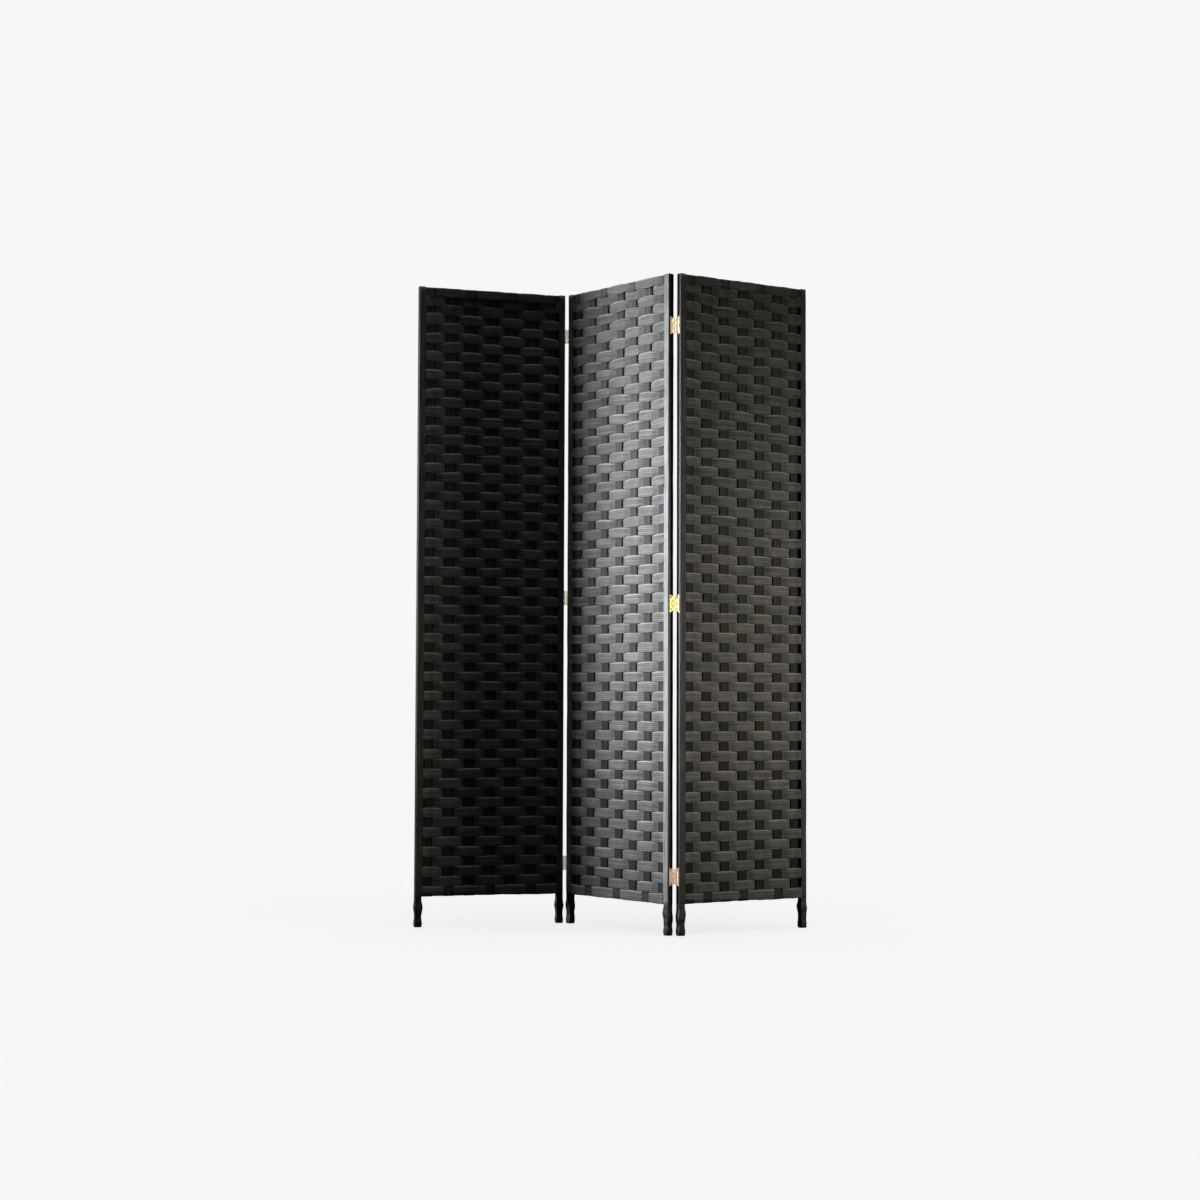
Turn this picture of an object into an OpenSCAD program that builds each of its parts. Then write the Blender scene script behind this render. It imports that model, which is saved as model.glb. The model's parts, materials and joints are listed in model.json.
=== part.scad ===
// Folding room divider: three panels of black paper-ribbon weave in wooden frames,
// joined edge to edge by brass butt hinges and standing in a zigzag.
// Millimetres, +Z up. X runs along the screen's overall length and the front faces -Y.
// The origin is the centre of the footprint's bounding box, on the floor.

/* [Panels] */
// Width of a panel between its edge faces
panel_w = 430; // [400:5:460]
// Height of the stile tops above the floor
panel_h = 1800; // [1780:5:1900]
// Height of the open space under a panel
leg_h = 85; // [70:1:95]
// Width of a wooden stile
stile_w = 17; // [16:0.5:20]
// Thickness of a stile, front to back
frame_t = 16; // [15:0.5:18]
// Thickness of a rail, front to back
rail_t = 9; // [8:0.5:11]
// Height of the top rail
top_rail_h = 22; // [18:1:28]
// Height of the bottom rail
bottom_rail_h = 18; // [16:1:24]
// Height of the stile ends above the top band
stile_proud = 1.5; // [0:0.5:4]

/* [Bands] */
// Thickness of the corded ribbon folded over the stiles and rails
band_t = 1.5; // [1:0.25:2]
// Thickness of the ribbon wound round a leg
wrap_t = 1.2; // [0.8:0.1:1.5]
// Height of the wrap's lower end above the floor
wrap_lift = 1; // [0.5:0.5:3]

/* [Weave] */
// Number of upright slats in a panel
slat_count = 7; // [5:2:7]
// Width of a slat
slat_w = 30; // [24:1:32]
// Thickness of a slat
slat_t = 2.4; // [2:0.2:3]
// Distance from a panel's edge face to the middle of its outermost slat
slat_inset = 34.5; // [34.5:0.5:40]
// Length of each slat end held in a rail
slat_seat = 4.5; // [3:0.5:4.5]
// Number of woven ribbons, one above the other
row_count = 62; // [58:2:66]
// Thickness of a woven ribbon
ribbon_t = 2.2; // [1.6:0.2:3]
// Space between a ribbon and its neighbours
ribbon_gap = 0.6; // [0.4:0.1:1]

/* [Fold] */
// Angle between the left and middle panels, measured in front
left_fold = 112; // [100:1:125]
// Angle between the middle and right panels, measured behind
right_fold = 98; // [90:1:110]
// Turn of the middle panel away from the screen's overall length
middle_turn = 49.6; // [40:0.1:55]

/* [Hinges] */
// Heights of the left hinges' middles above the floor
left_hinge_z = [171, 926, 1680];
// Heights of the right hinges' middles above the floor
right_hinge_z = [158, 897, 1658];
// Distance from a panel's edge face to the hinge axis
axis_gap = 4.6; // [4.6:0.1:5.5]
// Distance from a panel's face to the hinge axis
axis_rise = 1.5; // [1.5:0.1:2.5]
// Height of a leaf along its outer edge
leaf_h = 50; // [48:1:54]
// Height of a leaf beside the knuckles
leaf_waist_h = 40; // [39:1:44]
// Distance from the hinge axis to a leaf's outer edge
leaf_reach = 14.5; // [13.5:0.5:18.5]
// Thickness of a leaf
leaf_t = 1.5; // [1.2:0.1:1.6]
// Height of all the knuckles together
barrel_h = 38; // [34:1:38]
// Radius of the knuckles
barrel_r = 4; // [3.6:0.1:4]
// Number of knuckles in a hinge
knuckle_count = 5; // [3:2:5]
// Space between two knuckles
knuckle_gap = 0.3; // [0.2:0.1:0.4]
// Radius of a hinge pin
pin_r = 1.8; // [1.5:0.1:2]
// Radius of a pin's button tips
pin_tip_r = 2.8; // [2.4:0.1:3]

/* [Fasteners] */
// Radius of a hinge screw's shank
screw_r = 1.4; // [1.2:0.1:1.6]
// Radius of a hinge screw's head
screw_head_r = 2.7; // [2.4:0.1:2.8]
// Length of a hinge screw
screw_l = 12; // [10:0.5:14]
// Radius of a corner dowel
dowel_r = 3; // [2:0.5:3]
// Length of a corner dowel
dowel_l = 26; // [20:1:28]
// Distance from a rail's outer edge to the middle of its dowels
dowel_inset = 6.5; // [6:0.25:6.5]

/* [Hidden] */
$fn = 48;
PANELS = ["left_panel", "middle_panel", "right_panel"];
PANEL_PIECES = [
    "stile_left", "stile_right", "top_rail", "bottom_rail", "corner_dowels",
    "slats", "woven_ribbons", "edge_band_left", "edge_band_right", "top_band",
    "bottom_band", "leg_wrap_left", "leg_wrap_right", "hinge_screws"
];
SIDES = ["left", "right"];
LEVELS = ["bottom", "middle", "top"];
HINGE_PIECES = ["leaf_left", "leaf_right", "pin"];

LEFT = -1;
RIGHT = 1;
FRONT = -1;
BACK = 1;
LEFT_PANEL = 0;
MIDDLE_PANEL = 1;
RIGHT_PANEL = 2;
// Each hinged joint, from left to right: the panel on its left, the face its axis is on, its hinges' heights
JOINTS = [
    [LEFT_PANEL, FRONT, left_hinge_z],
    [MIDDLE_PANEL, BACK, right_hinge_z]
];

// Radial clearance of pins, dowels and screws in their holes
fit = 0.05;
// Clearance of slats in the rails
seat_gap = 0.15;
// Overlap of cutters past the faces that they open
past = 1;

// Sizes of a panel
panel_t = frame_t + 2 * band_t;
band_top = panel_h - stile_proud;
top_rail_z = band_top - band_t - top_rail_h;
bottom_rail_z = leg_h + band_t;
weave_bottom = bottom_rail_z + bottom_rail_h;
weave_h = top_rail_z - weave_bottom;
row_pitch = weave_h / row_count;
rail_half = panel_w / 2 - stile_w;
weave_half = rail_half - band_t;

// Places of the slats, and how far the ribbons pass from the slats' middle plane
slat_pitch = (panel_w - 2 * slat_inset) / (slat_count - 1);
ribbon_y = slat_t / 2 + seat_gap + ribbon_t / 2;
ribbon_flat = slat_w + 1;
ribbon_end_gap = 0.1;

// Sizes of a hinge
knuckle_pitch = barrel_h / knuckle_count;
plate_start = barrel_r + 0.5;
knuckle_start = 0.8;
gusset = [3.2, 3.75];
pin_tip_h = 1.4;
pin_tip_flat_r = 1.8;
screw_cone_h = 1.4;
screw_tip_l = 2.5;
recess_l = 3.4;
recess_w = 0.7;
recess_d = 0.7;
// Places of the three screws in a leaf: distance from the axis, height above the leaf's middle
SCREW_PLACES = [[10.6, -16], [7.9, 0], [10.6, 16]];

// A point of the plan turned about the origin
function turned(p, a) = [p.x * cos(a) - p.y * sin(a), p.x * sin(a) + p.y * cos(a)];

// A hinge axis in the plan of a panel that has it on this side and this face
function axis_in_panel(side, face) = [side * (panel_w / 2 + axis_gap), face * (panel_t / 2 + axis_rise)];

// Turn of each panel, and its middle's place while the middle panel's middle is at the origin
turns = [
    180 - left_fold - middle_turn,
    -middle_turn,
    180 - right_fold - middle_turn
];
left_axis = turned(axis_in_panel(LEFT, FRONT), turns[MIDDLE_PANEL]);
right_axis = turned(axis_in_panel(RIGHT, BACK), turns[MIDDLE_PANEL]);
places = [
    left_axis - turned(axis_in_panel(RIGHT, FRONT), turns[LEFT_PANEL]),
    [0, 0],
    right_axis - turned(axis_in_panel(LEFT, BACK), turns[RIGHT_PANEL])
];

// Corners of the panels and of their wrapped legs, and the middle of their bounding box
footprints = [
    [panel_w / 2, panel_t / 2],
    [panel_w / 2 + wrap_t, frame_t / 2 + wrap_t]
];
corners = [
    for (p = [0:2], f = footprints, sx = [-1, 1], sy = [-1, 1])
        places[p] + turned([sx * f.x, sy * f.y], turns[p])
];
corner_x = [for (c = corners) c.x];
corner_y = [for (c = corners) c.y];
middle = [(min(corner_x) + max(corner_x)) / 2, (min(corner_y) + max(corner_y)) / 2];

// Puts children, drawn in a panel's own frame, where that panel stands
module on_panel(p) {
    translate([places[p].x - middle.x, places[p].y - middle.y, 0])
        rotate(turns[p])
            children();
}

// Puts children, drawn round a hinge axis with the panel at their -X side, at that axis of a panel
module at_axis(side, face, z) {
    a = axis_in_panel(side, face);
    translate([a.x, a.y, z])
        mirror([side == LEFT ? 1 : 0, 0, 0])
            mirror([0, face == BACK ? 1 : 0, 0])
                children();
}

// Puts children at each screw place of every leaf on this side of a panel, +X pointing out of the panel
module at_screws(side, face, heights) {
    for (z = heights)
        at_axis(side, face, z)
            for (s = SCREW_PLACES)
                translate([leaf_t - axis_gap, s.x, s.y])
                    children();
}

// Puts children at every screw place on one side of panel p, if that side is hinged
module at_panel_screws(p, side) {
    for (j = JOINTS)
        if ((side == RIGHT && p == j[0]) || (side == LEFT && p == j[0] + 1))
            at_screws(side, j[1], j[2])
                children();
}

// Turned shape of a hinge screw along -X, its head's flat face at X = 0, grown all round by a margin
module screw_body(grow) {
    rotate([0, -90, 0])
        rotate_extrude()
            polygon([
                [0, -grow],
                [screw_head_r + grow, -grow],
                [screw_head_r + grow, 0],
                [screw_r + grow, screw_cone_h + grow],
                [screw_r + grow, screw_l - screw_tip_l],
                [0, screw_l + grow]
            ]);
}

module hinge_screw() {
    difference() {
        screw_body(0);
        for (a = [0, 90])
            rotate([a, 0, 0])
                translate([-recess_d, -recess_l / 2, -recess_w / 2])
                    cube([recess_d + past, recess_l, recess_w]);
    }
}

// Dowels along X at both ends of both rails, grown all round by a margin
module dowels(grow) {
    for (side = [LEFT, RIGHT], z = [bottom_rail_z + dowel_inset, top_rail_z + top_rail_h - dowel_inset])
        translate([side * (rail_half - 1), 0, z])
            rotate([0, 90, 0])
                cylinder(r = dowel_r + grow, h = dowel_l + 2 * grow, center = true);
}

// Upright post of the frame; its lower end is a leg
module stile(p, side) {
    color("#1b1a19")
        difference() {
            translate([side * (panel_w - stile_w) / 2 - stile_w / 2, -frame_t / 2, 0])
                cube([stile_w, frame_t, panel_h]);
            dowels(fit);
            at_panel_screws(p, side)
                screw_body(fit);
        }
}

// Upright slats, grown by a margin for the grooves that hold them
module slat_bars(grow) {
    for (i = [0:slat_count - 1])
        translate([(i - (slat_count - 1) / 2) * slat_pitch, 0, weave_bottom + weave_h / 2])
            cube([slat_w + 2 * grow, slat_t + 2 * grow, weave_h + 2 * (slat_seat + grow)], center = true);
}

module slats() {
    color("#2b2a27")
        slat_bars(0);
}

module rail(z, h) {
    color("#1b1a19")
        difference() {
            translate([-rail_half, -rail_t / 2, z])
                cube([2 * rail_half, rail_t, h]);
            slat_bars(seat_gap);
            dowels(fit);
        }
}

module corner_dowels() {
    color("#b58e5c")
        dowels(0);
}

// Outline, seen from above, of a ribbon that passes each slat on alternate sides, starting on side s
module ribbon_outline(s) {
    end = weave_half - ribbon_end_gap;
    first = -(slat_count - 1) / 2;
    path = concat(
        [[-end, s * ribbon_y]],
        [for (i = [0:slat_count - 1], e = [-1, 1])
            if (!(i == 0 && e == -1) && !(i == slat_count - 1 && e == 1))
                [(first + i) * slat_pitch + e * ribbon_flat / 2, (i % 2 == 0 ? s : -s) * ribbon_y]],
        [[end, s * ribbon_y]]
    );
    last = len(path) - 1;
    polygon(concat(
        [for (p = path) p - [0, ribbon_t / 2]],
        [for (i = [0:last]) path[last - i] + [0, ribbon_t / 2]]
    ));
}

// Ribbons woven across the slats, one above the other, alternate rows on opposite sides
module woven_ribbons() {
    color("#33322f")
        for (row = [0:row_count - 1])
            translate([0, 0, weave_bottom + row * row_pitch + ribbon_gap / 2])
                linear_extrude(row_pitch - ribbon_gap)
                    ribbon_outline(row % 2 == 0 ? BACK : FRONT);
}

// Ribbon folded round a stile: over its front, its inner side and its back
module edge_band(side) {
    wide = stile_w + band_t;
    color("#282724")
        mirror([side == LEFT ? 1 : 0, 0, 0])
            union() {
                for (y = [-panel_t / 2, frame_t / 2])
                    translate([weave_half, y, leg_h])
                        cube([wide, band_t, band_top - leg_h]);
                translate([weave_half, -panel_t / 2, weave_bottom])
                    cube([band_t, panel_t, weave_h]);
            }
}

// Ribbon folded over a rail: its front, one long edge and its back
module rail_band(low, high, edge) {
    wide = rail_t + 2 * band_t;
    color("#282724")
        translate([-weave_half, 0, 0])
            union() {
                for (y = [-wide / 2, rail_t / 2])
                    translate([0, y, low])
                        cube([2 * weave_half, band_t, high - low]);
                translate([0, -wide / 2, edge])
                    cube([2 * weave_half, wide, band_t]);
            }
}

module top_band() {
    rail_band(top_rail_z, band_top, band_top - band_t);
}

module bottom_band() {
    rail_band(leg_h, weave_bottom, leg_h);
}

// Ribbon wound round a leg
module leg_wrap(side) {
    color("#1f1e1c")
        translate([side * (panel_w - stile_w) / 2, 0, wrap_lift])
            linear_extrude(leg_h - wrap_lift)
                difference() {
                    square([stile_w + 2 * wrap_t, frame_t + 2 * wrap_t], center = true);
                    square([stile_w, frame_t], center = true);
                }
}

module panel_screws(p) {
    color("#c9a24b")
        for (side = [LEFT, RIGHT])
            at_panel_screws(p, side)
                hinge_screw();
}

// Knuckles of one leaf, joined to its plate; kept holds the knuckles' numbers, counted from below
module knuckles(kept) {
    for (k = kept)
        translate([0, 0, k * knuckle_pitch - barrel_h / 2 + knuckle_gap / 2])
            linear_extrude(knuckle_pitch - knuckle_gap)
                union() {
                    circle(r = barrel_r);
                    polygon([
                        [-axis_gap, knuckle_start],
                        [0, 0],
                        gusset - [axis_gap, 0],
                        [leaf_t - axis_gap, plate_start + 1],
                        [-axis_gap, plate_start + 1]
                    ]);
                }
}

// One leaf, drawn round the hinge axis, flat against the edge face at its -X side
module leaf(odd) {
    kept = [for (k = [odd:2:knuckle_count - 1]) k];
    color("#c79a3e")
        difference() {
            union() {
                translate([-axis_gap, 0, 0])
                    rotate([90, 0, 90])
                        linear_extrude(leaf_t)
                            polygon([
                                [plate_start, -leaf_waist_h / 2],
                                [leaf_reach, -leaf_h / 2],
                                [leaf_reach, leaf_h / 2],
                                [plate_start, leaf_waist_h / 2]
                            ]);
                knuckles(kept);
            }
            cylinder(r = pin_r + fit, h = leaf_h, center = true);
            for (s = SCREW_PLACES)
                translate([leaf_t - axis_gap, s.x, s.y])
                    screw_body(fit);
        }
}

// Pin with a button tip at each end
module pin() {
    tip_z = barrel_h / 2 + fit;
    color("#d1aa55")
        rotate_extrude()
            polygon([
                [0, -tip_z - pin_tip_h],
                [pin_tip_flat_r, -tip_z - pin_tip_h],
                [pin_tip_r, -tip_z - pin_tip_h / 2],
                [pin_tip_r, -tip_z],
                [pin_r, -tip_z],
                [pin_r, tip_z],
                [pin_tip_r, tip_z],
                [pin_tip_r, tip_z + pin_tip_h / 2],
                [pin_tip_flat_r, tip_z + pin_tip_h],
                [0, tip_z + pin_tip_h]
            ]);
}

// Draws children if their node is asked for
module piece(name) {
    children();
}

module panel(p) {
    name = PANELS[p];
    piece(str(name, "_stile_left")) stile(p, LEFT);
    piece(str(name, "_stile_right")) stile(p, RIGHT);
    piece(str(name, "_top_rail")) rail(top_rail_z, top_rail_h);
    piece(str(name, "_bottom_rail")) rail(bottom_rail_z, bottom_rail_h);
    piece(str(name, "_corner_dowels")) corner_dowels();
    piece(str(name, "_slats")) slats();
    piece(str(name, "_woven_ribbons")) woven_ribbons();
    piece(str(name, "_edge_band_left")) edge_band(LEFT);
    piece(str(name, "_edge_band_right")) edge_band(RIGHT);
    piece(str(name, "_top_band")) top_band();
    piece(str(name, "_bottom_band")) bottom_band();
    piece(str(name, "_leg_wrap_left")) leg_wrap(LEFT);
    piece(str(name, "_leg_wrap_right")) leg_wrap(RIGHT);
    piece(str(name, "_hinge_screws")) panel_screws(p);
}

// Leaves and pin of one hinge; the middle panel's leaf has the outer knuckles
module hinge(j, level) {
    left_panel = JOINTS[j][0];
    face = JOINTS[j][1];
    z = JOINTS[j][2][level];
    name = str(SIDES[j], "_hinge_", LEVELS[level]);
    piece(str(name, "_leaf_left"))
        on_panel(left_panel) at_axis(RIGHT, face, z) leaf(left_panel == MIDDLE_PANEL ? 0 : 1);
    piece(str(name, "_leaf_right"))
        on_panel(left_panel + 1) at_axis(LEFT, face, z) leaf(left_panel == MIDDLE_PANEL ? 1 : 0);
    piece(str(name, "_pin"))
        on_panel(left_panel) at_axis(RIGHT, face, z) pin();
}

for (p = [0:2])
    on_panel(p) panel(p);

for (j = [0:1], level = [0:2])
    hinge(j, level);
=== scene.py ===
"""Looks of the folding room divider screen, built around its CAD frame.

Each panel's pieces are made in that panel's own frame: X along its width, -Y to its front, Z up, metres.
"""

import json
import math

import bpy
import numpy as np
from mathutils import Matrix, Vector


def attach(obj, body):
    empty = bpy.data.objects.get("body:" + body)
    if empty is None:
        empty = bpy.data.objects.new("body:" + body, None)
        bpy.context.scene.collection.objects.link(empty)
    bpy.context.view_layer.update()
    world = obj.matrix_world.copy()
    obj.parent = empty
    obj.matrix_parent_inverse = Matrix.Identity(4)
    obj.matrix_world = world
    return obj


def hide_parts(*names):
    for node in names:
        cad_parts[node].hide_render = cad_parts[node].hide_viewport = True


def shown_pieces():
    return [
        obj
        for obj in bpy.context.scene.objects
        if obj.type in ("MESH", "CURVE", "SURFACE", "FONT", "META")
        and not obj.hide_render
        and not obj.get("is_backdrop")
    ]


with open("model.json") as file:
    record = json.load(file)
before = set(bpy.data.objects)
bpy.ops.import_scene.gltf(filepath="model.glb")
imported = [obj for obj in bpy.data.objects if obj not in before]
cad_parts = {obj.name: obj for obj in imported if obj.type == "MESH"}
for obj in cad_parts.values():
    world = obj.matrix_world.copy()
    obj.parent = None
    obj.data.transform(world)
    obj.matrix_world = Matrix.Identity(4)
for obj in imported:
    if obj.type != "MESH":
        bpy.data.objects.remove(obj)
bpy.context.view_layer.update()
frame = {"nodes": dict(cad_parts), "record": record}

PANELS = ("left_panel", "middle_panel", "right_panel")
SIDES = ("left", "right")
MM = 0.001

# The weave
SLATS = 7
ROWS = 62
ROW_SHRINK = 0.05  # how much lower the top rows are than the bottom ones, as a share of a row
WAVE = 2.05 * MM  # how far a ribbon's middle passes from the slats' middle plane
WAVE_SPREAD = 0.1 * MM
END_WAVE = 6.9 * MM  # how far it passes at a ribbon's ends, which rise to the faces of the stiles
CROSSING = 3.0  # how sharply a ribbon crosses between the slats
LEAD = 0.12  # how much longer it stays before a slat than behind one
ROUNDING = 0.2  # how rounded the crossings are, from 0 for straight ramps to 1 for a sine
STATIONS_PER_SLAT = 12
RIBBON_CORDS = 5
SLAT_CORDS = 5
STEPS_PER_CORD = 5
CORD_WIDTH = 4.6 * MM
CORE = 0.8 * MM  # thickness of a ribbon in the valleys between its cords
RIDGE = 0.62 * MM  # height of a cord above those valleys, on each side
RIDGE_SPREAD = 0.14
TUCK = 1.2 * MM  # how far a ribbon's end goes into the edge band
SLAT_TUCK = 3 * MM
# Handmade unevenness at the bottom and at the top of a panel
EDGE_WANDER = (0.5 * MM, 2.4 * MM)  # of the lines between the rows, up and down
EDGE_BULGE = (1.0 * MM, 3.0 * MM)  # of a ribbon's edges where it passes a slat
SLAT_WANDER = (0.7 * MM, 3.0 * MM)  # of a slat, from side to side
RIBBON_BOW = (0.8 * MM, 1.2 * MM)  # of a ribbon's middle line, out from its edges
LOOSENING = 2.5  # a larger one keeps what comes loose nearer to the top
EDGE_MIX = 0.7  # weight of the wander that drifts over the rows, and of the one that jumps from row to row
OUTER_SLATS_SHARE = 0.35  # how much of a slat's wander the two beside the stiles have
SLAT_WIDTH_SPREAD = 0.02
ROWS_PER_SLAT_BEND = 5

# The first and last ribbons, woven on the rails over the slats' folded ends
FOLD_DEPTH = 0.1 * MM  # how far a slat's end is sunk in the rail's band
RAIL_OVER = 1.9 * MM  # how far the ribbon's middle is from the band's face where it passes over a slat's end
RAIL_UNDER = -1.1 * MM  # the same where it passes behind one
RAIL_DROP = 1.2 * MM  # how far the bottom one reaches below its band
RAIL_ROW_RISE = 7 * MM  # how far it reaches above it
TOP_REACH = 0.4 * MM  # how far the top one reaches above its band
WEDGE = 12 * MM  # how high the bottom one starts at one end, where the band shows beneath it
WEDGE_SHARE = 0.72  # how far along the rail the wedge reaches
FRAY = 0.4 * MM
FOLD_STEPS = 24

# Bands and leg wraps
BAND_STATION = 9 * MM
BAND_WANDER = 0.22 * MM
BAND_CORE = 1.5 * MM
CORNER_R = 1.6 * MM
CORNER_STEPS = 7
LEG_STATION = 2.5 * MM
LEG_CORNER_R = 3.2 * MM
LEG_CORE_CORNER_R = 0.3 * MM
LEG_BULGES = (4.0 * MM, 2.6 * MM, 1.1 * MM, 1.1 * MM)  # towards the other leg, away from it, back and front
LEG_BULGE_SHARE = (0.6, 1.0)  # least and most of it that a side gets
LEG_BULGE_AT = (0.5, 0.74)  # lowest and highest place of a side's bulge, as a share of the wrapping's height
LEG_BULGE_REACH = 0.14
LEG_WAIST = 0.6 * MM
LEG_WAIST_AT = (0.26, 0.4)
LEG_WAIST_REACH = 0.08
LEG_FOOT_SHARE = 0.3  # how much of a side's bulge comes back at the foot
LEG_FOOT_AT = 0.14
LEG_FOOT_REACH = 0.1
LEG_LUMPS = 0.22 * MM
LEG_TOP_REACH = 1 / 6  # the part of the height over which all this dies away under the panel
LEG_END_ROUNDING = 0.8 * MM
LEG_END_REACH = 0.04
FOOT_TURNS = 4
FOOT_STEPS = 40  # in each turn
FOOT_CORNER_R = 3.7 * MM
FOOT_CORD_R = 1.6 * MM
FOOT_CORD_SINK = 0.3 * MM  # how far the binding is sunk in the wrapping
FOOT_CORD_START = 1.2  # height of the first turn, in cord radii
FOOT_CORD_RISE = 2.05  # from one turn to the next, in cord radii
FOOT_CORD_WANDER = 0.15 * MM

# Paper cord
CREASE_PITCH = 6.2 * MM  # from one spiral crease to the next
CREASE_SLANT = 1.5  # creases passed on the way across a cord
CREASE_STEP = 0.37  # how much later in its turn each cord starts than the one before
CREASE_JITTER = 1.1
CREASE_SHARE = 0.3  # of the cords' relief, the rest of which is fibres
CORD_RELIEF = 0.24 * MM
DYE_DRIFT = 7.0  # how fast a cord's dye drifts along it
DYE_STEP = 3.7  # from one cord's dye to the next, far enough for them to be unlike
DYE_SHARE = 0.6  # of the dye's unevenness that goes cord by cord
SHADING_LOW, SHADING_HIGH = 0.6, 1.75  # heights between which the painted light and shade change, in metres
UPPER_FLANK_LIGHT = 1.7  # how much paler the upper flanks are painted: a painted highlight of light from above

# Softened edges of the CAD pieces
WOOD_EDGE = 0.7 * MM
BRASS_EDGE = 0.25 * MM

# What the camera sees of the surroundings, and what lights the screen and the floor from all round
BACKDROP = 0.93
AMBIENT = 0.030
FLOOR_GLOW = 0.755
FLOOR_REACH = 80
FLOOR_DROP = 0.2 * MM  # keeps the floor clear of the feet
SKY = 0.58
SKY_ANGLE = 70

# The photograph's camera
FOCAL_LENGTH = 64.63
SENSOR_WIDTH = 36
CAMERA_PLACE = (-0.032, -6.010, 0.63)
CAMERA_PITCH, CAMERA_ROLL = 2.7, 0.2

UP = (0.0, 0.0, 1.0)
ALONG_X = (1.0, 0.0, 0.0)
TO_FRONT = (0.0, -1.0, 0.0)


# ---------------------------------------------------------------- places from the frame

FEET = {m["name"]: Vector(m["pos_m"]) for m in frame["record"]["mounts"]}


def panel_place(panel):
    """Matrix from a panel's own frame to the shared one."""
    left = FEET[f"{panel}_left_foot"]
    right = FEET[f"{panel}_right_foot"]
    along = right - left
    turn = math.atan2(along.y, along.x)
    return Matrix.Translation((left + right) / 2) @ Matrix.Rotation(turn, 4, "Z")


def local_points(panel, piece):
    """Vertices of a panel's CAD node in the panel's own frame."""
    mesh = frame["nodes"][f"{panel}_{piece}"].data
    points = np.empty(len(mesh.vertices) * 3)
    mesh.vertices.foreach_get("co", points)
    inverse = np.array(panel_place(panel).inverted())
    return points.reshape(-1, 3) @ inverse[:3, :3].T + inverse[:3, 3]


def local_box(panel, piece):
    """Lowest and highest corner of a panel's CAD node in the panel's own frame."""
    points = local_points(panel, piece)
    return points.min(0), points.max(0)


# ---------------------------------------------------------------- meshes


def unit(vectors):
    """One vector, or each row of an array of them, at a length of 1."""
    return vectors / np.linalg.norm(vectors, axis=-1, keepdims=True)


def run_along(points):
    """Distance run from the first point to each of them."""
    return np.concatenate([[0], np.cumsum(np.linalg.norm(np.diff(points, axis=0), axis=1))])


def loft_faces(rings, capped):
    """Faces over rings of points, facing outwards: their corners' numbers, and how many corners each has."""
    stations, count, _ = rings.shape
    spans = stations - 1 if capped else stations
    i = np.arange(spans)[:, None]
    j = np.arange(count)[None, :]
    ahead = (i + 1) % stations
    beside = (j + 1) % count
    quads = np.stack(
        [i * count + j, i * count + beside, ahead * count + beside, ahead * count + j], axis=-1
    ).reshape(-1, 4)
    ring = np.arange(count)
    caps = [ring[::-1], (stations - 1) * count + ring]
    a, b, c, d = (rings.reshape(-1, 3)[quads[:, k]] for k in range(4))
    inside_out = np.sum(a * (np.cross(b, c) + np.cross(c, d))) < 0
    if inside_out:
        quads = quads[:, ::-1]
        caps = [cap[::-1] for cap in caps]
    loops = [quads.reshape(-1)]
    totals = [np.full(spans * count, 4)]
    if capped:
        loops += caps
        totals.append(np.full(2, count))
    return np.concatenate(loops).astype(np.int32), np.concatenate(totals).astype(np.int32)


def lofted(name, rings, uv, capped=True):
    """Object skinned over closed rings of points, an array of stations by points by 3, smooth-shaded.

    It has a flat cap at each end, or its last ring joins the first. uv has a pair for each point.
    """
    stations, count, _ = rings.shape
    loops, totals = loft_faces(rings, capped)
    starts = np.concatenate([[0], np.cumsum(totals)[:-1]]).astype(np.int32)
    smooth = np.ones(len(totals), bool)
    if capped:
        smooth[-2:] = False

    mesh = bpy.data.meshes.new(name)
    mesh.vertices.add(stations * count)
    mesh.vertices.foreach_set("co", rings.astype(np.float32).ravel())
    mesh.loops.add(len(loops))
    mesh.loops.foreach_set("vertex_index", loops)
    mesh.polygons.add(len(totals))
    mesh.polygons.foreach_set("loop_start", starts)
    mesh.polygons.foreach_set("loop_total", totals)
    mesh.polygons.foreach_set("use_smooth", smooth)
    layer = mesh.uv_layers.new(name="Cords")
    layer.data.foreach_set("uv", uv.reshape(-1, 2)[loops].astype(np.float32).ravel())
    mesh.update(calc_edges=True)
    mesh.validate()
    obj = bpy.data.objects.new(name, mesh)
    bpy.context.scene.collection.objects.link(obj)
    return obj


def cord_places(cords):
    """Places across a corded ribbon, in cords from its edge, and the cords' height there from 0 to 1."""
    at = np.arange(cords * STEPS_PER_CORD + 1) / STEPS_PER_CORD
    inside = 2 * (at - np.floor(at)) - 1
    return at, np.sqrt(1 - inside**2)


def ridge_heights(rng, stations, cords):
    """Height of each place across a ribbon at each station, above the valleys, with uneven cords."""
    at, crest = cord_places(cords)
    owner = np.minimum(at.astype(int), cords - 1)
    uneven = 1 + RIDGE_SPREAD * rng.standard_normal((stations, cords))
    return RIDGE * crest * uneven[:, owner]


def corded_strip(name, rng, middle, across, out, width, cords, along, bow=None):
    """Flat ribbon of parallel cords that runs through the points of middle.

    across and out are unit vectors at each of them, width its width there, along the distance run,
    and bow how far its middle line stands out from its edges.
    """
    at, _ = cord_places(cords)
    share = at / cords
    heights = ridge_heights(rng, len(middle), cords)
    line = middle[:, None] + across[:, None] * (width[:, None] * (share - 0.5))[..., None]
    if bow is not None:
        line = line + out[:, None] * (bow[:, None] * (1 - (2 * share - 1) ** 4))[..., None]
    lift = out[:, None] * (CORE / 2 + heights)[..., None]
    rings = np.concatenate([line + lift, (line - lift)[:, ::-1]], axis=1)
    cord_at = np.concatenate([at, at[::-1]])
    uv = np.stack(np.broadcast_arrays(along[:, None], cord_at[None, :]), axis=-1)
    return lofted(name, rings, uv)


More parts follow.
